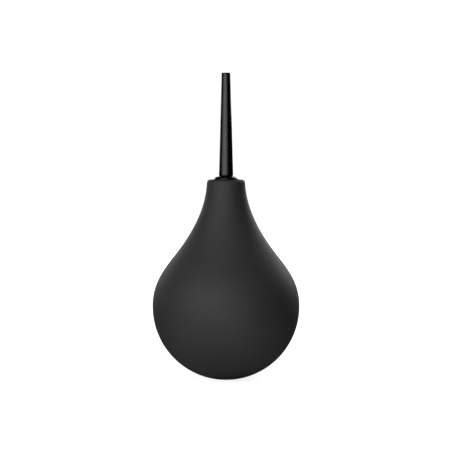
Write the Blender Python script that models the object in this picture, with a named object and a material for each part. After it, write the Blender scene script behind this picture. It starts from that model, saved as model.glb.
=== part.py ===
"""Dust blower bulb: a hand squeezed rubber bulb that blows a jet of air.

A hollow teardrop bulb of rubber stands on a small flat. A hard plug is pressed
into the mouth of its thick neck. The nozzle screws into the plug and seals on
an O-ring. A bush in the base holds the inlet valve, whose loose disc lets air
in and shuts when the bulb is squeezed.

Metres, +Z up. The origin is the middle of the flat that the bulb stands on, and
+Z is the axis that every piece is turned about.
"""

import math

import bmesh
import bpy

MM = 0.001

# Driving dimensions.
SEGMENTS = 40
FINE_SEGMENTS = 32
HOLE_SEGMENTS = 16
GAP = 0.3 * MM

# Bulb, outside: a ball, then a hollow shoulder that runs up into the neck.
BALL_RADIUS = 32.5 * MM
FOOT_FLAT_RADIUS = 7.0 * MM
EQUATOR_HEIGHT = math.sqrt(BALL_RADIUS ** 2 - FOOT_FLAT_RADIUS ** 2)
SHOULDER_HEIGHT = 53.7 * MM
SHOULDER_RADIUS = 23.1 * MM
SHOULDER_SLOPE = 0.788
NECK_HEIGHT = 86.24 * MM
NECK_RADIUS = 8.42 * MM
NECK_SLOPE = 0.055
BALL_REACH = 9.0 * MM
SHOULDER_REACH_DOWN = 9.1 * MM
SHOULDER_REACH_UP = 9.8 * MM
NECK_REACH = 13.7 * MM
RIM_HEIGHT = 87.67 * MM
RIM_FLAT_RADIUS = 7.25 * MM

# Bulb, inside.
WALL = 3.0 * MM
CAVITY_FLOOR = 5.0 * MM
CAVITY_SHOULDER = 64.0 * MM
THROAT_HEIGHT = 73.0 * MM
THROAT_REACH = 3.0 * MM
FUNNEL_REACH = 4.0 * MM
LIP_ROUND = 0.2 * MM

# Plug in the neck.
PLUG_HEAD_RADIUS = 5.25 * MM
PLUG_HEAD_TOP = 89.05 * MM
PLUG_HEAD_EDGE = 87.95 * MM
PLUG_HEAD_FLAT_RADIUS = 3.4 * MM
PLUG_HEAD_REACH = (0.6 * MM, 1.1 * MM)
PLUG_HEAD_BOTTOM = 86.7 * MM
PLUG_SHANK_RADIUS = 3.9 * MM
PLUG_SHANK_CHAMFER = 0.5 * MM
PLUG_OUTLET_RADIUS = 1.4 * MM
PLUG_OUTLET_FUNNEL = 0.6 * MM
PLUG_BOTTOM = 74.5 * MM
BARB_RADIUS = 4.5 * MM
BARB_COUNT = 3
BARB_PITCH = 3.0 * MM
FIRST_BARB = 76.5 * MM
BARB_RAMP = 1.6 * MM

# Nozzle.
TIP_HEIGHT = 134.45 * MM
TIP_RADIUS = 1.98 * MM
TIP_ROUND = 0.3 * MM
FOOT_HEIGHT = 89.35 * MM
FOOT_RADIUS = 3.15 * MM
FOOT_ROUND = 0.7 * MM
WAIST_RADIUS = 1.55 * MM
SPIGOT_BOTTOM = 80.0 * MM
SPIGOT_CHAMFER = 0.2 * MM
BORE_RADIUS = 0.9 * MM

# Thread between nozzle and plug: right hand, rounded.
THREAD_PITCH = 1.5 * MM
THREAD_TOP = 86.5 * MM
THREAD_BOTTOM = 80.6 * MM
THREAD_ROOT = 1.65 * MM
THREAD_CREST = 2.25 * MM
ROWS_PER_PITCH = 8

# O-ring under the nozzle's foot.
RING_RADIUS = 2.35 * MM
RING_SECTION = 0.5 * MM
RING_SEAT_RADIUS = RING_RADIUS + RING_SECTION + GAP
RING_SEAT_FLOOR = 87.75 * MM

# Inlet valve in the base.
VALVE_FLANGE_RADIUS = 4.4 * MM
VALVE_FLANGE_BOTTOM = 0.4 * MM
VALVE_FLANGE_TOP = 1.6 * MM
VALVE_FLANGE_CHAMFER = 0.4 * MM
VALVE_SHANK_RADIUS = 3.1 * MM
VALVE_BARB_RADIUS = 3.9 * MM
VALVE_BARB_HEIGHT = CAVITY_FLOOR + GAP
VALVE_TOP = 7.4 * MM
INLET_RADIUS = 1.0 * MM
SEAT_HEIGHT = 2.4 * MM
SEAT_RING_RADIUS = 1.5 * MM
SEAT_RING_HEIGHT = 0.3 * MM
SEAT_RING_CHAMFER = 0.2 * MM
CHAMBER_RADIUS = 2.4 * MM
DISC_RADIUS = 2.0 * MM
DISC_THICKNESS = 0.7 * MM
DISC_BEVEL = 0.15 * MM
DISC_BOTTOM = SEAT_HEIGHT + SEAT_RING_HEIGHT + GAP
DISC_LIFT = 0.8 * MM
CAGE_BOTTOM = DISC_BOTTOM + DISC_THICKNESS + DISC_LIFT + GAP
CAGE_TOP = 6.3 * MM
CAGE_BEAD = 0.2 * MM
CAGE_HOLES = 5
CAGE_HOLE_RADIUS = 0.45 * MM
CAGE_HOLE_CIRCLE = 1.2 * MM


# ---------------------------------------------------------------- outlines
# An outline is a closed loop of (radius, height) points. It runs up the outer
# side of the piece and down its bore.

def arc(centre, size, start, end, steps):
    """Points on an elliptical arc, with angles in degrees from +radius towards +height."""
    points = []
    for step in range(steps + 1):
        angle = math.radians(start + (end - start) * step / steps)
        radius = centre[0] + size[0] * math.cos(angle)
        height = centre[1] + size[1] * math.sin(angle)
        points.append((radius, height))
    return points


def bezier(first, first_handle, last_handle, last, steps):
    """Points on a cubic curve."""
    points = []
    for step in range(steps + 1):
        t = step / steps
        weights = ((1 - t) ** 3, 3 * (1 - t) ** 2 * t, 3 * (1 - t) * t ** 2, t ** 3)
        corners = (first, first_handle, last_handle, last)
        radius = sum(weight * corner[0] for weight, corner in zip(weights, corners))
        height = sum(weight * corner[1] for weight, corner in zip(weights, corners))
        points.append((radius, height))
    return points


def along(point, slope, distance):
    """The point a distance up a line that loses slope in radius for each unit of height."""
    length = math.hypot(1.0, slope)
    return (point[0] - slope * distance / length, point[1] + distance / length)


def inset_curve(points, distance):
    """The same open curve, moved to the left of its direction."""
    moved = []
    for index, point in enumerate(points):
        before = points[max(index - 1, 0)]
        after = points[min(index + 1, len(points) - 1)]
        run = (after[0] - before[0], after[1] - before[1])
        length = math.hypot(*run)
        moved.append((point[0] - run[1] * distance / length,
                      point[1] + run[0] * distance / length))
    return moved


def bulb_shoulder(steps):
    """The bulb's outside from its equator to the start of its rim."""
    equator = (BALL_RADIUS, EQUATOR_HEIGHT)
    shoulder = (SHOULDER_RADIUS, SHOULDER_HEIGHT)
    neck = (NECK_RADIUS, NECK_HEIGHT)
    ball = bezier(equator, along(equator, 0.0, BALL_REACH),
                  along(shoulder, SHOULDER_SLOPE, -SHOULDER_REACH_DOWN), shoulder, steps)
    hollow = bezier(shoulder, along(shoulder, SHOULDER_SLOPE, SHOULDER_REACH_UP),
                    along(neck, NECK_SLOPE, -NECK_REACH), neck, steps)
    return ball + hollow[1:]


def plug_barbs(offset):
    """The ribbed shank, bottom to top, moved outwards by an offset."""
    points = []
    for index in range(BARB_COUNT):
        height = FIRST_BARB + index * BARB_PITCH
        points.append((PLUG_SHANK_RADIUS + offset, height))
        points.append((BARB_RADIUS + offset, height + BARB_RAMP))
        points.append((BARB_RADIUS + offset, height + BARB_RAMP + 2 * offset))
        points.append((PLUG_SHANK_RADIUS + offset, height + BARB_RAMP + 2 * offset))
    return points


def bulb_outline(angle):
    """Rubber bulb with its neck, throat, cavity and base hole."""
    flat_angle = math.degrees(math.asin(FOOT_FLAT_RADIUS / BALL_RADIUS)) - 90
    hole = VALVE_SHANK_RADIUS + GAP
    recess = VALVE_FLANGE_RADIUS + GAP
    mouth = PLUG_HEAD_RADIUS + GAP
    rim_centre = (RIM_FLAT_RADIUS, NECK_HEIGHT)
    rim_size = (NECK_RADIUS - RIM_FLAT_RADIUS, RIM_HEIGHT - NECK_HEIGHT)

    outside = arc((0, EQUATOR_HEIGHT), (BALL_RADIUS, BALL_RADIUS), flat_angle, 0, 12)
    outside += bulb_shoulder(10)[1:]
    outside += arc(rim_centre, rim_size, 0, 90, 4)[1:]

    lip = arc((mouth + LIP_ROUND, RIM_HEIGHT - LIP_ROUND), (LIP_ROUND, LIP_ROUND), 90, 180, 2)
    ledge = PLUG_HEAD_BOTTOM - GAP
    throat = PLUG_SHANK_RADIUS + GAP
    neck_inside = lip + [(mouth, ledge), (throat, ledge)] + plug_barbs(GAP)[::-1]

    wall_inside = inset_curve(bulb_shoulder(6), WALL)
    cavity_wall = [point for point in wall_inside if point[1] < CAVITY_SHOULDER]
    funnel_start = cavity_wall[-1]
    funnel = bezier((throat, THROAT_HEIGHT), (throat, THROAT_HEIGHT - THROAT_REACH),
                    along(funnel_start, SHOULDER_SLOPE, FUNNEL_REACH), funnel_start, 4)
    floor_angle = math.asin((CAVITY_FLOOR - EQUATOR_HEIGHT) / (BALL_RADIUS - WALL))
    bowl_size = (BALL_RADIUS - WALL, BALL_RADIUS - WALL)
    bowl = arc((0, EQUATOR_HEIGHT), bowl_size, 0, math.degrees(floor_angle), 8)
    cavity = funnel + cavity_wall[-2:0:-1] + bowl

    base_hole = [(hole, CAVITY_FLOOR), (hole, VALVE_FLANGE_TOP + GAP),
                 (recess, VALVE_FLANGE_TOP + GAP), (recess, 0)]
    return outside + neck_inside + cavity + base_hole


def thread_depth(angle, height):
    """How far the thread stands out at a place, from 0 at its root to 1 at its crest."""
    turn = height / THREAD_PITCH - angle / (2 * math.pi)
    wave = 0.5 + 0.5 * math.cos(2 * math.pi * turn)
    run_out = min(THREAD_TOP - height, height - THREAD_BOTTOM) / (0.5 * THREAD_PITCH)
    return wave, max(0.0, min(1.0, run_out))


def thread_heights():
    """The heights of the thread's rows, bottom to top."""
    rows = round((THREAD_TOP - THREAD_BOTTOM) / THREAD_PITCH * ROWS_PER_PITCH)
    return [THREAD_BOTTOM + (THREAD_TOP - THREAD_BOTTOM) * row / rows for row in range(rows + 1)]


def outer_thread(angle):
    """The nozzle's thread, bottom to top."""
    points = []
    for height in thread_heights():
        wave, run_out = thread_depth(angle, height)
        points.append((THREAD_ROOT + (THREAD_CREST - THREAD_ROOT) * wave * run_out, height))
    return points


def inner_thread(angle):
    """The plug's thread, top to bottom, with a gap all round the nozzle's."""
    points = []
    for height in reversed(thread_heights()):
        wave, run_out = thread_depth(angle, height)
        depth = (THREAD_CREST - THREAD_ROOT) * (1 - wave) * run_out
        points.append((THREAD_CREST + GAP - depth, height))
    return points


def plug_outline(angle):
    """Hard plug with a ribbed shank, a domed head, an O-ring seat and a threaded socket."""
    socket = THREAD_CREST + GAP
    shank = [(PLUG_SHANK_RADIUS - PLUG_SHANK_CHAMFER, PLUG_BOTTOM),
             (PLUG_SHANK_RADIUS, PLUG_BOTTOM + PLUG_SHANK_CHAMFER)]
    shank += plug_barbs(0)
    shank += [(PLUG_SHANK_RADIUS, PLUG_HEAD_BOTTOM), (PLUG_HEAD_RADIUS, PLUG_HEAD_BOTTOM)]
    head = bezier((PLUG_HEAD_RADIUS, PLUG_HEAD_EDGE),
                  (PLUG_HEAD_RADIUS, PLUG_HEAD_EDGE + PLUG_HEAD_REACH[0]),
                  (PLUG_HEAD_FLAT_RADIUS + PLUG_HEAD_REACH[1], PLUG_HEAD_TOP),
                  (PLUG_HEAD_FLAT_RADIUS, PLUG_HEAD_TOP), 5)
    seat = [(RING_SEAT_RADIUS, PLUG_HEAD_TOP), (RING_SEAT_RADIUS, RING_SEAT_FLOOR),
            (socket, RING_SEAT_FLOOR)]
    outlet = [(socket, SPIGOT_BOTTOM - GAP),
              (PLUG_OUTLET_RADIUS, SPIGOT_BOTTOM - GAP - PLUG_OUTLET_FUNNEL),
              (PLUG_OUTLET_RADIUS, PLUG_BOTTOM)]
    return shank + head + seat + inner_thread(angle) + outlet


def nozzle_outline(angle):
    """Tapered tube with a rounded foot, a waist and a threaded spigot."""
    spigot = [(THREAD_ROOT - SPIGOT_CHAMFER, SPIGOT_BOTTOM),
              (THREAD_ROOT, SPIGOT_BOTTOM + SPIGOT_CHAMFER)]
    waist = [(WAIST_RADIUS, THREAD_TOP + GAP), (WAIST_RADIUS, FOOT_HEIGHT)]
    foot_centre = (FOOT_RADIUS - FOOT_ROUND, FOOT_HEIGHT + FOOT_ROUND)
    foot = arc(foot_centre, (FOOT_ROUND, FOOT_ROUND), -90, 0, 4)
    tip_centre = (TIP_RADIUS - TIP_ROUND, TIP_HEIGHT - TIP_ROUND)
    tip = arc(tip_centre, (TIP_ROUND, TIP_ROUND), 0, 90, 3)
    bore = [(BORE_RADIUS, TIP_HEIGHT), (BORE_RADIUS, SPIGOT_BOTTOM)]
    return spigot + outer_thread(angle) + waist + foot + tip + bore


def ring_outline(angle):
    """Round section of the O-ring, sitting just clear of its seat and of the foot."""
    height = RING_SEAT_FLOOR + GAP + RING_SECTION
    return arc((RING_RADIUS, height), (RING_SECTION, RING_SECTION), -180, 150, 11)


def valve_body_outline(angle):
    """Bush with an outer flange, a barb inside the bulb, an inlet, a seat and a chamber."""
    flange = [(VALVE_FLANGE_RADIUS - VALVE_FLANGE_CHAMFER, VALVE_FLANGE_BOTTOM),
              (VALVE_FLANGE_RADIUS, VALVE_FLANGE_BOTTOM + VALVE_FLANGE_CHAMFER),
              (VALVE_FLANGE_RADIUS, VALVE_FLANGE_TOP), (VALVE_SHANK_RADIUS, VALVE_FLANGE_TOP)]
    barb = [(VALVE_SHANK_RADIUS, VALVE_BARB_HEIGHT), (VALVE_BARB_RADIUS, VALVE_BARB_HEIGHT),
            (VALVE_SHANK_RADIUS, VALVE_TOP)]
    groove = CHAMBER_RADIUS + CAGE_BEAD
    chamber = [(CHAMBER_RADIUS, VALVE_TOP), (CHAMBER_RADIUS, CAGE_TOP + GAP),
               (groove, CAGE_TOP - CAGE_BEAD + GAP), (groove, CAGE_BOTTOM + CAGE_BEAD - GAP),
               (CHAMBER_RADIUS, CAGE_BOTTOM - GAP), (CHAMBER_RADIUS, SEAT_HEIGHT)]
    seat_top = SEAT_HEIGHT + SEAT_RING_HEIGHT
    seat = [(SEAT_RING_RADIUS, SEAT_HEIGHT), (SEAT_RING_RADIUS - SEAT_RING_CHAMFER, seat_top),
            (INLET_RADIUS, seat_top), (INLET_RADIUS, VALVE_FLANGE_BOTTOM)]
    return flange + barb + chamber + seat


# ---------------------------------------------------------------- meshes

def clear_scene():
    """Start from an empty scene."""
    for thing in list(bpy.data.objects):
        bpy.data.objects.remove(thing, do_unlink=True)


def material(name, colour, roughness, metallic=0.0):
    """A plain Principled material of one grey or colour."""
    made = bpy.data.materials.new(name)
    made.use_nodes = True
    shader = made.node_tree.nodes["Principled BSDF"]
    shader.inputs["Base Color"].default_value = (*colour, 1.0)
    shader.inputs["Roughness"].default_value = roughness
    shader.inputs["Metallic"].default_value = metallic
    return made


def place(name, mesh, skin, parent=None):
    """Put a mesh in the scene as a named sub-part."""
    mesh.shade_smooth()
    mesh.set_sharp_from_angle(angle=math.radians(30))
    mesh.materials.append(skin)
    part = bpy.data.objects.new(name, mesh)
    part.parent = parent
    bpy.context.collection.objects.link(part)
    return part


def turned_mesh(name, outline, segments):
    """Sweep an outline round the Z axis. The outline may change with the angle."""
    form = bmesh.new()
    columns = []
    for step in range(segments):
        angle = 2 * math.pi * step / segments
        column = [form.verts.new((radius * math.cos(angle), radius * math.sin(angle), height))
                  for radius, height in outline(angle)]
        columns.append(column)
    for here, there in zip(columns, columns[1:] + columns[:1]):
        for low in range(len(here)):
            high = (low + 1) % len(here)
            form.faces.new((here[low], there[low], there[high], here[high]))
    mesh = bpy.data.meshes.new(name)
    form.to_mesh(mesh)
    form.free()
    return mesh


def disc_mesh(name, radius, bottom, thickness, segments):
    """A plain round plate."""
    form = bmesh.new()
    bmesh.ops.create_cone(form, cap_ends=True, segments=segments, radius1=radius, radius2=radius,
                          depth=thickness)
    bmesh.ops.translate(form, verts=form.verts, vec=(0, 0, bottom + thickness / 2))
    mesh = bpy.data.meshes.new(name)
    form.to_mesh(mesh)
    form.free()
    return mesh


def add_bevel(part, width):
    """Break the sharp edges of a plate."""
    bevel = part.modifiers.new("broken_edges", "BEVEL")
    bevel.width = width
    bevel.segments = 2
    bevel.limit_method = "ANGLE"
    bevel.angle_limit = math.radians(50)


def cage_cutter(skin):
    """The air holes of the valve cage, as one set of rods."""
    form = bmesh.new()
    for index in range(CAGE_HOLES):
        angle = 2 * math.pi * index / CAGE_HOLES
        rod = bmesh.ops.create_cone(form, cap_ends=True, segments=HOLE_SEGMENTS,
                                    radius1=CAGE_HOLE_RADIUS, radius2=CAGE_HOLE_RADIUS,
                                    depth=2 * CAGE_TOP)
        centre = (CAGE_HOLE_CIRCLE * math.cos(angle), CAGE_HOLE_CIRCLE * math.sin(angle), CAGE_TOP)
        bmesh.ops.translate(form, verts=rod["verts"], vec=centre)
    mesh = bpy.data.meshes.new("cage_holes")
    form.to_mesh(mesh)
    form.free()
    cutter = place("cage_holes", mesh, skin)
    cutter.hide_render = True
    cutter.display_type = "WIRE"
    return cutter


def valve_cage(skin, parent):
    """Plate with air holes, held in the valve's chamber by a bead round its edge."""
    rim = CHAMBER_RADIUS - GAP
    form = bmesh.new()
    bead = rim + CAGE_BEAD
    edge = [(rim, CAGE_BOTTOM), (rim, CAGE_BOTTOM + CAGE_BEAD), (bead, CAGE_BOTTOM + 2 * CAGE_BEAD),
            (bead, CAGE_TOP - 2 * CAGE_BEAD), (rim, CAGE_TOP - CAGE_BEAD), (rim, CAGE_TOP)]
    rings = []
    for radius, height in edge:
        ring = bmesh.ops.create_circle(form, segments=FINE_SEGMENTS, radius=radius)["verts"]
        bmesh.ops.translate(form, verts=ring, vec=(0, 0, height))
        rings.append(ring)
    for low, high in zip(rings, rings[1:]):
        for step in range(FINE_SEGMENTS):
            after = (step + 1) % FINE_SEGMENTS
            form.faces.new((low[step], low[after], high[after], high[step]))
    form.faces.new(reversed(rings[0]))
    form.faces.new(rings[-1])
    bmesh.ops.recalc_face_normals(form, faces=form.faces)
    mesh = bpy.data.meshes.new("valve_cage")
    form.to_mesh(mesh)
    form.free()
    cage = place("valve_cage", mesh, skin, parent)
    holes = cage.modifiers.new("air_holes", "BOOLEAN")
    holes.operation = "DIFFERENCE"
    holes.solver = "EXACT"
    holes.object = cage_cutter(skin)
    return cage


def joint_frame(name, parent=None):
    """An empty on the axis that all the moving pieces share."""
    frame = bpy.data.objects.new(name, None)
    frame.empty_display_size = 10 * MM
    frame.parent = parent
    bpy.context.collection.objects.link(frame)
    return frame


def build():
    """Model every sub-part."""
    clear_scene()
    rubber = material("matt_black_rubber", (0.035, 0.035, 0.036), 0.6)
    gloss = material("gloss_black_plastic", (0.012, 0.012, 0.013), 0.15)
    satin = material("satin_black_plastic", (0.03, 0.03, 0.031), 0.35)
    seal = material("nitrile_seal", (0.012, 0.012, 0.012), 0.5)
    silicone = material("grey_silicone", (0.35, 0.35, 0.34), 0.45)
    nylon = material("natural_nylon", (0.62, 0.6, 0.54), 0.4)

    place("bulb", turned_mesh("bulb", bulb_outline, SEGMENTS), rubber)
    place("neck_plug", turned_mesh("neck_plug", plug_outline, FINE_SEGMENTS), gloss)

    lift = joint_frame("nozzle_lift_axis")
    turn = joint_frame("nozzle_turn_axis", lift)
    place("nozzle_o_ring", turned_mesh("nozzle_o_ring", ring_outline, FINE_SEGMENTS), seal, lift)
    place("nozzle", turned_mesh("nozzle", nozzle_outline, FINE_SEGMENTS), gloss, turn)

    base = joint_frame("squeeze_axis")
    place("valve_body", turned_mesh("valve_body", valve_body_outline, FINE_SEGMENTS), satin, base)
    valve_cage(nylon, base)
    flap = joint_frame("disc_lift_axis", base)
    disc = disc_mesh("valve_disc", DISC_RADIUS, DISC_BOTTOM, DISC_THICKNESS, FINE_SEGMENTS)
    add_bevel(place("valve_disc", disc, silicone, flap), DISC_BEVEL)


build()
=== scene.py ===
"""Looks of the dust blower bulb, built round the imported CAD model.

Every piece is turned about the Z axis, so each one is an outline in radius and
height, swept round. The sizes that the CAD boxes hold are read from them, and
the few that they can't hold are named here. Metres, +Z up, camera on the -Y side.
"""

import math

import bmesh
import bpy
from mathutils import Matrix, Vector


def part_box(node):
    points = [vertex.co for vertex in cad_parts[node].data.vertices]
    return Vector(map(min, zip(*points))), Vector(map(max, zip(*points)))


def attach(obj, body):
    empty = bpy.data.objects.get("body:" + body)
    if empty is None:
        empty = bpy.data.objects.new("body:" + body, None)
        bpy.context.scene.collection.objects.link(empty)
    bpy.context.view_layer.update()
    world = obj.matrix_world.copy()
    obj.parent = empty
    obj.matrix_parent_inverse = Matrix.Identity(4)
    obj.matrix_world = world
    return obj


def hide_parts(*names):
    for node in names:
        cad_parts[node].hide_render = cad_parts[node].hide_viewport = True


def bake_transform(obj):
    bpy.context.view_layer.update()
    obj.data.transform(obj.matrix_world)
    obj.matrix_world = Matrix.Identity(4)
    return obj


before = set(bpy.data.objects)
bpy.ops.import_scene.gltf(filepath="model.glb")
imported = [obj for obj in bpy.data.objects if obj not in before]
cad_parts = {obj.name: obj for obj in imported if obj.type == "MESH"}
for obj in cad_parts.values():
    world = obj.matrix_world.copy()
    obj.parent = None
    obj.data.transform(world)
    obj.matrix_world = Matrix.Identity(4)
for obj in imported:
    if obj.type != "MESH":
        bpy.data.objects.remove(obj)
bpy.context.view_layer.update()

MM = 0.001
GAP = 0.3 * MM

# Bulb: a ball, then a hollow shoulder that runs up into the neck.
BALL_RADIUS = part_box("bulb")[1].x
RIM_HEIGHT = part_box("bulb")[1].z
FOOT_FLAT_RADIUS = 7.0 * MM
EQUATOR_HEIGHT = math.sqrt(BALL_RADIUS ** 2 - FOOT_FLAT_RADIUS ** 2)
SHOULDER = (23.1 * MM, 53.7 * MM)
SHOULDER_SLOPE = 0.788
NECK = (8.42 * MM, 86.24 * MM)
NECK_SLOPE = 0.055
BALL_REACH = 9.0 * MM
SHOULDER_REACH_DOWN = 9.1 * MM
SHOULDER_REACH_UP = 9.8 * MM
NECK_REACH = 13.7 * MM
RIM_FLAT_RADIUS = 7.25 * MM
WALL = 3.0 * MM
CAVITY_FLOOR = 5.0 * MM
CAVITY_SHOULDER = 64.0 * MM
FUNNEL_REACH = (3.0 * MM, 4.0 * MM)
LIP_ROUND = 0.3 * MM
BASE_CHAMFER = 0.2 * MM
THROAT_HEIGHT = 73.0 * MM
FLASH_HEIGHT = 0.05 * MM
FLASH_WIDTH = 0.22 * MM
FLASH_COLUMNS = (0.12 * MM, 0.25 * MM, 0.45 * MM, 0.75 * MM)

# Plug.
PLUG_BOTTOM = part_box("neck_plug")[0].z
PLUG_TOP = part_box("neck_plug")[1].z
PLUG_HEAD_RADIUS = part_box("neck_plug")[1].x
PLUG_HEAD_BOTTOM = 86.7 * MM
PLUG_HEAD_EDGE = 87.95 * MM
PLUG_HEAD_FLAT_RADIUS = 3.4 * MM
PLUG_HEAD_REACH = (0.6 * MM, 1.1 * MM)
PLUG_HEAD_TUCK = 0.2 * MM
PLUG_SHANK_RADIUS = 3.9 * MM
PLUG_OUTLET_RADIUS = 1.4 * MM
BARB_RADIUS = 4.5 * MM
BARB_COUNT = 3
BARB_PITCH = 3.0 * MM
FIRST_BARB = 76.5 * MM
BARB_RAMP = 1.6 * MM

# Nozzle.
SPIGOT_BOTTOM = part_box("nozzle")[0].z
TIP_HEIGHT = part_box("nozzle")[1].z
FOOT_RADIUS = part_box("nozzle")[1].x
FOOT_HEIGHT = PLUG_TOP + 0.06 * MM
FOOT_ROUND = 0.6 * MM
TIP_RADIUS = 1.98 * MM
TIP_ROUND = 0.3 * MM
BORE_ROUND = 0.15 * MM
TAPER_ROWS = 24
WAIST_RADIUS = 1.55 * MM
BORE_RADIUS = 0.9 * MM

# Thread between nozzle and plug.
THREAD_PITCH = 1.5 * MM
THREAD_TOP = 86.5 * MM
THREAD_BOTTOM = 80.6 * MM
THREAD_ROOT = 1.65 * MM
THREAD_CREST = 2.25 * MM
ROWS_PER_PITCH = 20
RUN_OUT_TURNS = 0.5

# O-ring.
RING_LOW, RING_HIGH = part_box("nozzle_o_ring")
RING_SECTION = (RING_HIGH.z - RING_LOW.z) / 2
RING_RADIUS = RING_HIGH.x - RING_SECTION
RING_SEAT_RADIUS = RING_HIGH.x + GAP
RING_SEAT_FLOOR = RING_LOW.z - GAP

# Inlet valve.
VALVE_LOW, VALVE_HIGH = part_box("valve_body")
VALVE_FLANGE_TOP = 1.6 * MM
VALVE_SHANK_RADIUS = 3.1 * MM
VALVE_BARB_RADIUS = 3.9 * MM
INLET_RADIUS = 1.0 * MM
SEAT_HEIGHT = 2.4 * MM
SEAT_RING_RADIUS = 1.5 * MM
SEAT_RING_HEIGHT = 0.3 * MM
CHAMBER_RADIUS = 2.4 * MM
CAGE_LOW, CAGE_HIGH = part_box("valve_cage")
CAGE_BEAD = 0.2 * MM
CAGE_HOLES = 5
CAGE_HOLE_RADIUS = 0.45 * MM
CAGE_HOLE_CIRCLE = 1.2 * MM
DISC_LOW, DISC_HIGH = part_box("valve_disc")
CAP_RADIUS = 0.3 * MM

# Mesh density, and the crease above which an edge stays sharp.
BULB_COLUMNS = 144
FITTING_COLUMNS = 96
VALVE_SEGMENTS = 64
SHARP_ANGLE = math.radians(50)

# Materials: the refraction of rubber and plastic, and where a noise pattern mostly lies.
IOR = 1.5
PATTERN_LOW = 0.3
PATTERN_HIGH = 0.7

# View: a long lens, a little above the bulb.
CAMERA_DISTANCE = 0.62
CAMERA_ELEVATION = 4.1
CAMERA_LENS = 112.05
SENSOR_WIDTH = 36.0
AIM = Vector((0, 0, 67.25 * MM))

# Lights: name, azimuth and elevation in degrees, distance, width, height, radiance.
LIGHTS = (
    ("key", -24, 6, 0.7, 0.82, 0.21, 1.25),
    ("key_ends", -25, 6, 0.7, 1.85, 0.21, 1.0),
    ("upper", -28, 35, 0.7, 1.0, 0.48, 1.3),
    ("right_rim", 150, 22, 0.8, 0.6, 0.5, 2.6),
    ("left_rim", -152, 12, 0.8, 0.5, 0.34, 1.8),
)

# Floor. Each fade is a centre, a near and a far distance, and the values there. The front and back
# fades are painted pools of light. In the light the floor sends to the object, the rest of it is
# painted almost black as painted shade.
FLOOR_SIZE = 3.0
FLOOR_DROP = 0.05 * MM
FLOOR_SEEN = (0.95, 0.95, 0.95, 1)
FRONT_PAINTED_LIGHT_POOL = ((0, -0.12, 0), 0.04, 0.17, 1.0, 0.03)
BACK_PAINTED_LIGHT_POOL = ((0, 0.55, 0), 0.25, 0.4, 0.8, 0.0)
# Painted light: the floor that the camera sees glows, dimmer near the bulb and brighter far away.
FLOOR_GLOW = ((0, 0, 0), 0.02, 0.2, 0.85, 1.05)

# World: its strength for the camera, and for the light it sends.
WORLD_SEEN = 1.05
WORLD_SENT = 0.01
WHITE = (1, 1, 1, 1)


# ---------------------------------------------------------------- outlines

def arc(centre, size, start, end, steps):
    """Points on an elliptical arc, with angles in degrees from +radius towards +height."""
    points = []
    for step in range(steps + 1):
        angle = math.radians(start + (end - start) * step / steps)
        radius = centre[0] + size[0] * math.cos(angle)
        height = centre[1] + size[1] * math.sin(angle)
        points.append((radius, height))
    return points


def bezier(first, first_handle, last_handle, last, steps):
    """Points on a cubic curve."""
    points = []
    for step in range(steps + 1):
        t = step / steps
        weights = ((1 - t) ** 3, 3 * (1 - t) ** 2 * t, 3 * (1 - t) * t ** 2, t ** 3)
        corners = (first, first_handle, last_handle, last)
        radius = sum(weight * corner[0] for weight, corner in zip(weights, corners))
        height = sum(weight * corner[1] for weight, corner in zip(weights, corners))
        points.append((radius, height))
    return points


def along(point, slope, distance):
    """The point a distance up a line that loses slope in radius for each unit of height."""
    length = math.hypot(1.0, slope)
    return (point[0] - slope * distance / length, point[1] + distance / length)


def inset_curve(points, distance):
    """The same open curve, moved to the left of its direction."""
    moved = []
    for index, point in enumerate(points):
        before = points[max(index - 1, 0)]
        after = points[min(index + 1, len(points) - 1)]
        run = (after[0] - before[0], after[1] - before[1])
        length = math.hypot(*run)
        moved.append((point[0] - run[1] * distance / length,
                      point[1] + run[0] * distance / length))
    return moved


def two_thirds(first, second):
    """The point two thirds of the way from one point to another."""
    return (first[0] + (second[0] - first[0]) * 2 / 3, first[1] + (second[1] - first[1]) * 2 / 3)


def softened(corners, radius, steps=3):
    """An open run of corners with each inner corner rounded off."""
    points = [corners[0]]
    for before, corner, after in zip(corners, corners[1:], corners[2:]):
        ends = []
        for other in (before, after):
            reach = math.dist(corner, other)
            share = min(radius / reach, 0.45)
            ends.append((corner[0] + (other[0] - corner[0]) * share,
                         corner[1] + (other[1] - corner[1]) * share))
        points += bezier(ends[0], two_thirds(ends[0], corner),
                         two_thirds(ends[1], corner), ends[1], steps)
    return points + [corners[-1]]


def bulb_shoulder(steps):
    """The bulb's outside from its equator to the start of its rim."""
    equator = (BALL_RADIUS, EQUATOR_HEIGHT)
    ball = bezier(equator, along(equator, 0.0, BALL_REACH),
                  along(SHOULDER, SHOULDER_SLOPE, -SHOULDER_REACH_DOWN), SHOULDER, steps)
    hollow = bezier(SHOULDER, along(SHOULDER, SHOULDER_SLOPE, SHOULDER_REACH_UP),
                    along(NECK, NECK_SLOPE, -NECK_REACH), NECK, steps)
    return ball + hollow[1:]


def plug_barbs(offset):
    """The ribbed shank, bottom to top, moved outwards by an offset."""
    corners = []
    for index in range(BARB_COUNT):
        height = FIRST_BARB + index * BARB_PITCH
        corners.append((PLUG_SHANK_RADIUS + offset, height))
        corners.append((BARB_RADIUS + offset, height + BARB_RAMP))
        corners.append((PLUG_SHANK_RADIUS + offset, height + BARB_RAMP + 2 * offset))
    return corners


def bulb_outside():
    """The part of the bulb's outline that shows, from the foot flat up to the lip."""
    flat_angle = math.degrees(math.asin(FOOT_FLAT_RADIUS / BALL_RADIUS)) - 90
    rim_size = (NECK[0] - RIM_FLAT_RADIUS, RIM_HEIGHT - NECK[1])
    outside = arc((0, EQUATOR_HEIGHT), (BALL_RADIUS, BALL_RADIUS), flat_angle, 0, 56)
    outside += bulb_shoulder(36)[1:]
    outside += arc((RIM_FLAT_RADIUS, NECK[1]), rim_size, 0, 90, 10)[1:]
    return outside


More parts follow.
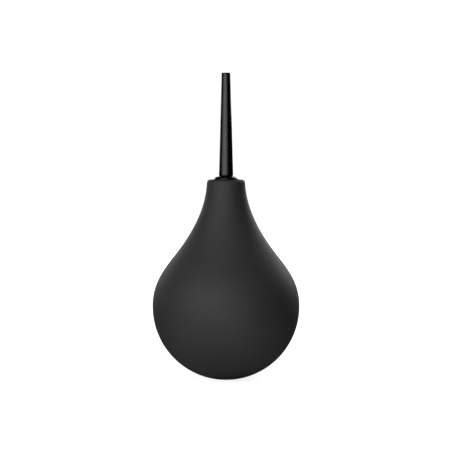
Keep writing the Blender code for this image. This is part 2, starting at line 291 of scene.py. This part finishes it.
def bulb_inside():
    """The rest of the bulb's outline: mouth, throat, cavity and base hole."""
    hole = VALVE_SHANK_RADIUS + GAP
    recess = VALVE_HIGH.x + GAP
    mouth = PLUG_HEAD_RADIUS + GAP
    throat = PLUG_SHANK_RADIUS + GAP
    ledge = PLUG_HEAD_BOTTOM - GAP
    lip = arc((mouth + LIP_ROUND, RIM_HEIGHT - LIP_ROUND), (LIP_ROUND, LIP_ROUND), 90, 180, 6)
    neck_corners = [(mouth, ledge), (throat, ledge)] + plug_barbs(GAP)[::-1]
    neck_inside = lip + softened(neck_corners, 0.1 * MM)

    wall = inset_curve(bulb_shoulder(16), WALL)
    cavity_wall = [point for point in wall if point[1] < CAVITY_SHOULDER]
    start = cavity_wall[-1]
    funnel = bezier((throat, THROAT_HEIGHT), (throat, THROAT_HEIGHT - FUNNEL_REACH[0]),
                    along(start, SHOULDER_SLOPE, FUNNEL_REACH[1]), start, 10)
    floor_angle = math.degrees(math.asin((CAVITY_FLOOR - EQUATOR_HEIGHT) / (BALL_RADIUS - WALL)))
    bowl_size = (BALL_RADIUS - WALL, BALL_RADIUS - WALL)
    bowl = arc((0, EQUATOR_HEIGHT), bowl_size, 0, floor_angle, 20)

    shelf = VALVE_FLANGE_TOP + GAP
    base_corners = [(hole, CAVITY_FLOOR), (hole, shelf), (recess, shelf), (recess, BASE_CHAMFER)]
    base_hole = softened(base_corners, 0.15 * MM) + [(recess + BASE_CHAMFER, 0)]
    return neck_inside + funnel + cavity_wall[-2:0:-1] + bowl + base_hole


def bulb_outline(angle):
    """The rubber bulb, with the fine line where the two halves of its mould met."""
    from_seam = abs(math.remainder(angle, math.pi))
    points = []
    for radius, height in bulb_outside():
        spread = (radius * from_seam / FLASH_WIDTH) ** 2
        points.append((radius - FLASH_HEIGHT * (1 - math.exp(-spread)), height))
    return points + bulb_inside()


def thread_wave(angle, height):
    """How far the thread stands out, 0 at root and 1 at crest, and how whole it is there."""
    turn = height / THREAD_PITCH - angle / (2 * math.pi)
    run_out = min(THREAD_TOP - height, height - THREAD_BOTTOM) / (RUN_OUT_TURNS * THREAD_PITCH)
    return 0.5 + 0.5 * math.cos(2 * math.pi * turn), max(0.0, min(1.0, run_out))


def thread_heights():
    """The heights of the thread's rows, bottom to top."""
    rows = round((THREAD_TOP - THREAD_BOTTOM) / THREAD_PITCH * ROWS_PER_PITCH)
    return [THREAD_BOTTOM + (THREAD_TOP - THREAD_BOTTOM) * row / rows for row in range(rows + 1)]


def outer_thread(angle):
    """The nozzle's thread, bottom to top."""
    points = []
    for height in thread_heights():
        wave, whole = thread_wave(angle, height)
        points.append((THREAD_ROOT + (THREAD_CREST - THREAD_ROOT) * wave * whole, height))
    return points


def inner_thread(angle):
    """The plug's thread, top to bottom, with a gap all round the nozzle's."""
    points = []
    for height in reversed(thread_heights()):
        wave, whole = thread_wave(angle, height)
        depth = (THREAD_CREST - THREAD_ROOT) * (1 - wave) * whole
        points.append((THREAD_CREST + GAP - depth, height))
    return points


def plug_outline(angle):
    """The plug: ribbed shank, domed head, O-ring seat and threaded socket."""
    socket = THREAD_CREST + GAP
    shank = [(PLUG_OUTLET_RADIUS, PLUG_BOTTOM), (PLUG_SHANK_RADIUS - 0.5 * MM, PLUG_BOTTOM),
             (PLUG_SHANK_RADIUS, PLUG_BOTTOM + 0.5 * MM)]
    shank += plug_barbs(0)
    tucked = PLUG_HEAD_RADIUS - PLUG_HEAD_TUCK
    shank += [(PLUG_SHANK_RADIUS, PLUG_HEAD_BOTTOM), (tucked, PLUG_HEAD_BOTTOM),
              (tucked, RIM_HEIGHT - PLUG_HEAD_TUCK), (PLUG_HEAD_RADIUS, PLUG_HEAD_EDGE)]
    head = bezier((PLUG_HEAD_RADIUS, PLUG_HEAD_EDGE),
                  (PLUG_HEAD_RADIUS, PLUG_HEAD_EDGE + PLUG_HEAD_REACH[0]),
                  (PLUG_HEAD_FLAT_RADIUS + PLUG_HEAD_REACH[1], PLUG_TOP),
                  (PLUG_HEAD_FLAT_RADIUS, PLUG_TOP), 16)
    seat = softened([(PLUG_HEAD_FLAT_RADIUS, PLUG_TOP), (RING_SEAT_RADIUS, PLUG_TOP),
                     (RING_SEAT_RADIUS, RING_SEAT_FLOOR), (socket, RING_SEAT_FLOOR),
                     (socket, THREAD_TOP + 0.2 * MM)], 0.12 * MM)
    outlet = softened([(socket, THREAD_BOTTOM - 0.1 * MM), (socket, SPIGOT_BOTTOM - GAP),
                       (PLUG_OUTLET_RADIUS, SPIGOT_BOTTOM - GAP - 0.6 * MM),
                       (PLUG_OUTLET_RADIUS, PLUG_BOTTOM + 0.1 * MM)], 0.15 * MM)
    return softened(shank, 0.08 * MM)[1:-1] + head + seat[1:] + inner_thread(angle) + outlet


def nozzle_outline(angle):
    """The nozzle: threaded spigot, waist, rounded foot, long taper, tip and bore."""
    spigot = [(THREAD_ROOT - 0.2 * MM, SPIGOT_BOTTOM), (THREAD_ROOT, SPIGOT_BOTTOM + 0.2 * MM)]
    waist = softened([(THREAD_ROOT, THREAD_TOP + 0.1 * MM), (WAIST_RADIUS, THREAD_TOP + 0.4 * MM),
                      (WAIST_RADIUS, FOOT_HEIGHT), (FOOT_RADIUS - FOOT_ROUND, FOOT_HEIGHT)], 0.1 * MM)
    foot_centre = (FOOT_RADIUS - FOOT_ROUND, FOOT_HEIGHT + FOOT_ROUND)
    foot = arc(foot_centre, (FOOT_ROUND, FOOT_ROUND), -90, 0, 12)[1:]
    tip = arc((TIP_RADIUS - TIP_ROUND, TIP_HEIGHT - TIP_ROUND), (TIP_ROUND, TIP_ROUND), 0, 90, 8)
    bore = arc((BORE_RADIUS + BORE_ROUND, TIP_HEIGHT - BORE_ROUND), (BORE_ROUND, BORE_ROUND),
               90, 180, 4)
    side = []
    for step in range(1, TAPER_ROWS):
        share = step / TAPER_ROWS
        side.append((FOOT_RADIUS + (TIP_RADIUS - FOOT_RADIUS) * share,
                     foot[-1][1] + (tip[0][1] - foot[-1][1]) * share))
    spigot_end = [(BORE_RADIUS, SPIGOT_BOTTOM)]
    return spigot + outer_thread(angle) + waist + foot + side + tip + bore + spigot_end


def ring_outline(_angle):
    """The round section of the O-ring, the same at every angle."""
    centre = (RING_RADIUS, RING_LOW.z + RING_SECTION)
    return arc(centre, (RING_SECTION, RING_SECTION), -180, 165, 23)


def valve_body_outline(_angle):
    """The valve's bush at every angle: outer flange, barb, chamber, seat and inlet."""
    flange = [(INLET_RADIUS + 0.2 * MM, VALVE_LOW.z), (VALVE_HIGH.x, VALVE_LOW.z),
              (VALVE_HIGH.x, VALVE_FLANGE_TOP), (VALVE_SHANK_RADIUS, VALVE_FLANGE_TOP)]
    barb_height = CAVITY_FLOOR + GAP
    barb = [(VALVE_SHANK_RADIUS, barb_height), (VALVE_BARB_RADIUS, barb_height),
            (VALVE_SHANK_RADIUS, VALVE_HIGH.z)]
    groove = CHAMBER_RADIUS + CAGE_BEAD
    chamber = [(CHAMBER_RADIUS, VALVE_HIGH.z), (CHAMBER_RADIUS, CAGE_HIGH.z + GAP),
               (groove, CAGE_HIGH.z - CAGE_BEAD + GAP), (groove, CAGE_LOW.z + CAGE_BEAD - GAP),
               (CHAMBER_RADIUS, CAGE_LOW.z - GAP), (CHAMBER_RADIUS, SEAT_HEIGHT)]
    seat_top = SEAT_HEIGHT + SEAT_RING_HEIGHT
    seat = [(SEAT_RING_RADIUS, SEAT_HEIGHT), (SEAT_RING_RADIUS - 0.2 * MM, seat_top),
            (INLET_RADIUS, seat_top), (INLET_RADIUS, VALVE_LOW.z + 0.2 * MM)]
    return softened(flange + barb + chamber + seat, 0.15 * MM)


# ---------------------------------------------------------------- meshes

def even_angles(count):
    """Evenly spaced directions for a turned piece."""
    return [2 * math.pi * step / count for step in range(count)]


def seam_angles(count):
    """The same, with extra directions on both sides of the bulb's mould line."""
    angles = even_angles(count)
    for seam in (0, math.pi):
        for spread in FLASH_COLUMNS:
            offset = spread / BALL_RADIUS
            angles += [seam + offset, (seam - offset) % (2 * math.pi)]
    return sorted(angles)


def turned(name, outline, angles):
    """Sweep an outline round the Z axis. The outline may change with the angle."""
    form = bmesh.new()
    columns = []
    for angle in angles:
        columns.append([form.verts.new((radius * math.cos(angle), radius * math.sin(angle), height))
                        for radius, height in outline(angle)])
    for here, there in zip(columns, columns[1:] + columns[:1]):
        for low in range(len(here)):
            high = (low + 1) % len(here)
            form.faces.new((here[low], there[low], there[high], here[high]))
    return mesh_object(name, form)


def mesh_object(name, form):
    """Finish a bmesh as a smooth-shaded object."""
    mesh = bpy.data.meshes.new(name)
    form.to_mesh(mesh)
    form.free()
    mesh.shade_smooth()
    mesh.set_sharp_from_angle(angle=SHARP_ANGLE)
    made = bpy.data.objects.new(name, mesh)
    bpy.context.scene.collection.objects.link(made)
    return made


def stacked_rings(name, edge, segments):
    """A closed solid of rings, each a (radius, height), capped at both ends."""
    form = bmesh.new()
    rings = []
    for radius, height in edge:
        ring = bmesh.ops.create_circle(form, segments=segments, radius=radius)["verts"]
        bmesh.ops.translate(form, verts=ring, vec=(0, 0, height))
        rings.append(ring)
    for low, high in zip(rings, rings[1:]):
        for step in range(segments):
            after = (step + 1) % segments
            form.faces.new((low[step], low[after], high[after], high[step]))
    form.faces.new(reversed(rings[0]))
    form.faces.new(rings[-1])
    bmesh.ops.recalc_face_normals(form, faces=form.faces)
    return mesh_object(name, form)


def air_holes(cage):
    """Bore the valve cage's ring of air holes right through it."""
    form = bmesh.new()
    for index in range(CAGE_HOLES):
        angle = 2 * math.pi * index / CAGE_HOLES
        rod = bmesh.ops.create_cone(form, cap_ends=True, segments=32, radius1=CAGE_HOLE_RADIUS,
                                    radius2=CAGE_HOLE_RADIUS, depth=2 * CAGE_HIGH.z)
        centre = (CAGE_HOLE_CIRCLE * math.cos(angle), CAGE_HOLE_CIRCLE * math.sin(angle),
                  CAGE_HIGH.z)
        bmesh.ops.translate(form, verts=rod["verts"], vec=centre)
    cutter = mesh_object("cage_holes", form)
    bore = cage.modifiers.new("air_holes", "BOOLEAN")
    bore.object = cutter
    bore.solver = "EXACT"
    bpy.context.view_layer.update()
    evaluated = cage.evaluated_get(bpy.context.evaluated_depsgraph_get())
    bored = bpy.data.meshes.new_from_object(evaluated)
    cage.modifiers.clear()
    cage.data = bored
    bpy.data.objects.remove(cutter, do_unlink=True)


# ---------------------------------------------------------------- materials

def principled(name, roughness):
    """A new material and its Principled shader."""
    made = bpy.data.materials.new(name)
    made.use_nodes = True
    shader = made.node_tree.nodes["Principled BSDF"]
    shader.inputs["Roughness"].default_value = roughness
    shader.inputs["IOR"].default_value = IOR
    return made, shader


def noise(tree, scale, detail=3.0, stretch=None):
    """A noise pattern in the object's own space, with its scale in features per metre."""
    coordinates = tree.nodes.new("ShaderNodeTexCoord")
    source = coordinates.outputs["Object"]
    if stretch is not None:
        mapping = tree.nodes.new("ShaderNodeMapping")
        mapping.inputs["Scale"].default_value = stretch
        tree.links.new(source, mapping.inputs["Vector"])
        source = mapping.outputs["Vector"]
    pattern = tree.nodes.new("ShaderNodeTexNoise")
    pattern.inputs["Scale"].default_value = scale
    pattern.inputs["Detail"].default_value = detail
    tree.links.new(source, pattern.inputs["Vector"])
    return pattern.outputs["Fac"]


def spread_value(tree, pattern, low, high, socket):
    """Feed a pattern into a shader input, stretched between two values."""
    span = tree.nodes.new("ShaderNodeMapRange")
    span.inputs["From Min"].default_value = PATTERN_LOW
    span.inputs["From Max"].default_value = PATTERN_HIGH
    span.inputs["To Min"].default_value = low
    span.inputs["To Max"].default_value = high
    tree.links.new(pattern, span.inputs["Value"])
    tree.links.new(span.outputs["Result"], socket)


def spread_colour(tree, pattern, dark, light, socket):
    """Feed a pattern into a colour input, between two colours."""
    ramp = tree.nodes.new("ShaderNodeValToRGB")
    ramp.color_ramp.elements[0].position = PATTERN_LOW
    ramp.color_ramp.elements[0].color = (*dark, 1)
    ramp.color_ramp.elements[1].position = PATTERN_HIGH
    ramp.color_ramp.elements[1].color = (*light, 1)
    tree.links.new(pattern, ramp.inputs["Fac"])
    tree.links.new(ramp.outputs["Color"], socket)


def bumped(tree, shader, pattern, depth, strength):
    """Raise the surface by a pattern, depth metres high at most."""
    bump = tree.nodes.new("ShaderNodeBump")
    bump.inputs["Distance"].default_value = depth
    bump.inputs["Strength"].default_value = strength
    tree.links.new(pattern, bump.inputs["Height"])
    tree.links.new(bump.outputs["Normal"], shader.inputs["Normal"])


def soft_touch_rubber():
    """Matt black moulded rubber with a very fine grain and faintly uneven sheen."""
    made, shader = principled("soft_touch_rubber", 0.63)
    tree = made.node_tree
    spread_colour(tree, noise(tree, 55.0, detail=4.0), (0.041, 0.041, 0.0415),
                  (0.048, 0.048, 0.0483), shader.inputs["Base Color"])
    spread_value(tree, noise(tree, 140.0, detail=5.0), 0.6, 0.66, shader.inputs["Roughness"])
    bumped(tree, shader, noise(tree, 3200.0, detail=2.0), 0.012 * MM, 0.35)
    return made


def gloss_plastic():
    """Gloss black moulded plastic, with faint flow marks along the mould."""
    made, shader = principled("gloss_plastic", 0.12)
    tree = made.node_tree
    spread_colour(tree, noise(tree, 90.0), (0.0035, 0.0035, 0.004), (0.005, 0.005, 0.0052),
                  shader.inputs["Base Color"])
    streaks = noise(tree, 900.0, stretch=(1.0, 1.0, 0.12))
    spread_value(tree, streaks, 0.09, 0.16, shader.inputs["Roughness"])
    ripples = noise(tree, 400.0, detail=1.0, stretch=(1.0, 1.0, 0.2))
    bumped(tree, shader, ripples, 0.01 * MM, 0.12)
    return made


def satin_plastic():
    """Black acetal, turned matt by its mould."""
    made, shader = principled("satin_plastic", 0.4)
    tree = made.node_tree
    spread_colour(tree, noise(tree, 300.0), (0.018, 0.018, 0.019), (0.026, 0.026, 0.027),
                  shader.inputs["Base Color"])
    spread_value(tree, noise(tree, 1500.0), 0.34, 0.46, shader.inputs["Roughness"])
    bumped(tree, shader, noise(tree, 6000.0), 0.01 * MM, 0.3)
    return made


def seal_rubber():
    """Black nitrile rubber."""
    made, shader = principled("seal_rubber", 0.45)
    tree = made.node_tree
    spread_colour(tree, noise(tree, 600.0), (0.006, 0.006, 0.006), (0.012, 0.012, 0.012),
                  shader.inputs["Base Color"])
    spread_value(tree, noise(tree, 2500.0), 0.38, 0.52, shader.inputs["Roughness"])
    return made


def natural_nylon():
    """Uncoloured nylon."""
    made, shader = principled("natural_nylon", 0.4)
    tree = made.node_tree
    spread_colour(tree, noise(tree, 500.0), (0.58, 0.56, 0.5), (0.66, 0.64, 0.57),
                  shader.inputs["Base Color"])
    spread_value(tree, noise(tree, 2000.0), 0.34, 0.46, shader.inputs["Roughness"])
    shader.inputs["Subsurface Weight"].default_value = 0.2
    shader.inputs["Subsurface Radius"].default_value = (0.8 * MM, 0.7 * MM, 0.5 * MM)
    shader.inputs["Subsurface Scale"].default_value = 1.0
    return made


def grey_silicone():
    """Soft grey silicone."""
    made, shader = principled("grey_silicone", 0.45)
    tree = made.node_tree
    spread_colour(tree, noise(tree, 700.0), (0.3, 0.3, 0.29), (0.36, 0.36, 0.35),
                  shader.inputs["Base Color"])
    spread_value(tree, noise(tree, 2200.0), 0.4, 0.52, shader.inputs["Roughness"])
    return made


# ---------------------------------------------------------------- pieces

def fit_piece(piece, material, body, node):
    """Give a piece its material, and put it on its body in place of its CAD node."""
    piece.data.materials.clear()
    piece.data.materials.append(material)
    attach(piece, body)
    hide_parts(node)


def make_bulb():
    """The rubber bulb, turned in one piece in place of its CAD node."""
    bulb = turned("rubber_bulb", bulb_outline, seam_angles(BULB_COLUMNS))
    bulb.data.materials.append(soft_touch_rubber())
    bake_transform(bulb)
    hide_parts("bulb")


def make_neck_fittings():
    """The plug, the O-ring and the nozzle."""
    gloss = gloss_plastic()
    fit_piece(turned("neck_plug_moulding", plug_outline, even_angles(FITTING_COLUMNS)),
              gloss, "bulb", "neck_plug")
    fit_piece(turned("seal_ring", ring_outline, even_angles(FITTING_COLUMNS)),
              seal_rubber(), "nozzle_seal", "nozzle_o_ring")
    fit_piece(turned("nozzle_tube", nozzle_outline, even_angles(FITTING_COLUMNS)),
              gloss, "nozzle", "nozzle")


def make_valve():
    """The bush, the cage and the loose disc of the inlet valve."""
    fit_piece(turned("valve_bush", valve_body_outline, even_angles(FITTING_COLUMNS)),
              satin_plastic(), "inlet_valve", "valve_body")

    rim = CAGE_HIGH.x - CAGE_BEAD
    cage_edge = [(CAP_RADIUS, CAGE_LOW.z), (rim, CAGE_LOW.z), (rim, CAGE_LOW.z + CAGE_BEAD),
                 (CAGE_HIGH.x, CAGE_LOW.z + 2 * CAGE_BEAD),
                 (CAGE_HIGH.x, CAGE_HIGH.z - 2 * CAGE_BEAD),
                 (rim, CAGE_HIGH.z - CAGE_BEAD), (rim, CAGE_HIGH.z), (CAP_RADIUS, CAGE_HIGH.z)]
    cage = stacked_rings("valve_grille", softened(cage_edge, 0.06 * MM), VALVE_SEGMENTS)
    air_holes(cage)
    fit_piece(cage, natural_nylon(), "inlet_valve", "valve_cage")

    disc_edge = [(CAP_RADIUS, DISC_LOW.z), (DISC_HIGH.x, DISC_LOW.z),
                 (DISC_HIGH.x, DISC_HIGH.z), (CAP_RADIUS, DISC_HIGH.z)]
    disc = stacked_rings("valve_flap_disc", softened(disc_edge, 0.15 * MM), VALVE_SEGMENTS)
    fit_piece(disc, grey_silicone(), "valve_flap", "valve_disc")


# ---------------------------------------------------------------- studio

def towards(azimuth, elevation, distance):
    """A point seen from the aim point, with azimuth in degrees to the right of the camera."""
    turn, rise = math.radians(azimuth), math.radians(elevation)
    level = math.cos(rise)
    direction = Vector((math.sin(turn) * level, -math.cos(turn) * level, math.sin(rise)))
    return AIM + distance * direction


def aim_at(thing, target):
    """Point a camera or a light at a place."""
    thing.rotation_euler = (target - thing.location).to_track_quat("-Z", "Y").to_euler()


def softbox(name, azimuth, elevation, distance, width, height, radiance):
    """A flat rectangular light that faces the object."""
    light = bpy.data.lights.new(name, "AREA")
    light.shape = "RECTANGLE"
    light.size = width
    light.size_y = height
    light.energy = radiance * math.pi * width * height
    lamp = bpy.data.objects.new(name, light)
    lamp.location = towards(azimuth, elevation, distance)
    aim_at(lamp, AIM)
    bpy.context.scene.collection.objects.link(lamp)


def stage_shader(tree, seen, other):
    """Mix two shaders: one for what the camera sees, one for the light sent to the object."""
    path = tree.nodes.new("ShaderNodeLightPath")
    mix = tree.nodes.new("ShaderNodeMixShader")
    tree.links.new(path.outputs["Is Camera Ray"], mix.inputs["Fac"])
    tree.links.new(other, mix.inputs[1])
    tree.links.new(seen, mix.inputs[2])
    return mix.outputs["Shader"]


def faded(tree, centre, near, far, near_value, far_value):
    """A value that changes evenly with the distance from a point of the floor."""
    distance = tree.nodes.new("ShaderNodeVectorMath")
    distance.operation = "DISTANCE"
    distance.inputs[1].default_value = centre
    tree.links.new(tree.nodes.new("ShaderNodeTexCoord").outputs["Object"], distance.inputs[0])
    fade = tree.nodes.new("ShaderNodeMapRange")
    fade.inputs["From Min"].default_value = near
    fade.inputs["From Max"].default_value = far
    fade.inputs["To Min"].default_value = near_value
    fade.inputs["To Max"].default_value = far_value
    tree.links.new(distance.outputs["Value"], fade.inputs["Value"])
    return fade.outputs["Result"]


def make_floor():
    """A table top that isn't plain: the camera sees white, the object gets other light.

    The light it sends to the object is that of an almost black floor, painted shade, with two painted
    pools of light, one in front of the bulb and one behind it.
    """
    form = bmesh.new()
    bmesh.ops.create_grid(form, x_segments=8, y_segments=8, size=FLOOR_SIZE)
    bmesh.ops.translate(form, verts=form.verts, vec=(0, 0, -FLOOR_DROP))
    floor = mesh_object("studio_floor", form)
    paint = bpy.data.materials.new("studio_floor_painted_light")
    paint.use_nodes = True
    tree = paint.node_tree
    tree.nodes.clear()
    seen = tree.nodes.new("ShaderNodeBsdfDiffuse")
    seen.inputs["Color"].default_value = FLOOR_SEEN
    glow = tree.nodes.new("ShaderNodeEmission")
    lit = tree.nodes.new("ShaderNodeAddShader")
    tree.links.new(seen.outputs["BSDF"], lit.inputs[0])
    tree.links.new(glow.outputs["Emission"], lit.inputs[1])
    sent = tree.nodes.new("ShaderNodeBsdfDiffuse")
    # Painted pools of light in front of and behind the bulb. Elsewhere the floor that lights the
    # object is painted almost black, as painted shade.
    painted_light_pools = tree.nodes.new("ShaderNodeMath")
    painted_light_pools.operation = "ADD"
    tree.links.new(faded(tree, *FRONT_PAINTED_LIGHT_POOL), painted_light_pools.inputs[0])
    tree.links.new(faded(tree, *BACK_PAINTED_LIGHT_POOL), painted_light_pools.inputs[1])
    tree.links.new(painted_light_pools.outputs["Value"], sent.inputs["Color"])
    # Painted glow in the floor seen by the camera, rising with the distance from the bulb.
    tree.links.new(faded(tree, *FLOOR_GLOW), glow.inputs["Strength"])
    output = tree.nodes.new("ShaderNodeOutputMaterial")
    shader = stage_shader(tree, lit.outputs["Shader"], sent.outputs["BSDF"])
    tree.links.new(shader, output.inputs["Surface"])
    floor.data.materials.append(paint)


def make_world():
    """White for the camera, and almost black for the light it sends to the object."""
    world = bpy.data.worlds.new("studio")
    bpy.context.scene.world = world
    world.use_nodes = True
    tree = world.node_tree
    tree.nodes.clear()
    seen = tree.nodes.new("ShaderNodeBackground")
    seen.inputs["Color"].default_value = WHITE
    seen.inputs["Strength"].default_value = WORLD_SEEN
    sent = tree.nodes.new("ShaderNodeBackground")
    sent.inputs["Color"].default_value = WHITE
    sent.inputs["Strength"].default_value = WORLD_SENT
    output = tree.nodes.new("ShaderNodeOutputWorld")
    shader = stage_shader(tree, seen.outputs["Background"], sent.outputs["Background"])
    tree.links.new(shader, output.inputs["Surface"])


def make_lights():
    """A low, wide key and an upper panel left of the camera, and two rim lights behind."""
    for light in LIGHTS:
        softbox(*light)


def make_camera():
    """A long lens at the height that shows the neck's rim from a little above."""
    camera = bpy.data.cameras.new("camera")
    camera.lens = CAMERA_LENS
    camera.sensor_width = SENSOR_WIDTH
    view = bpy.data.objects.new("camera", camera)
    view.location = towards(0, CAMERA_ELEVATION, CAMERA_DISTANCE)
    aim_at(view, AIM)
    bpy.context.scene.collection.objects.link(view)
    bpy.context.scene.camera = view


make_bulb()
make_neck_fittings()
make_valve()
make_floor()
make_world()
make_lights()
make_camera()
bpy.context.scene.view_settings.view_transform = "Standard"
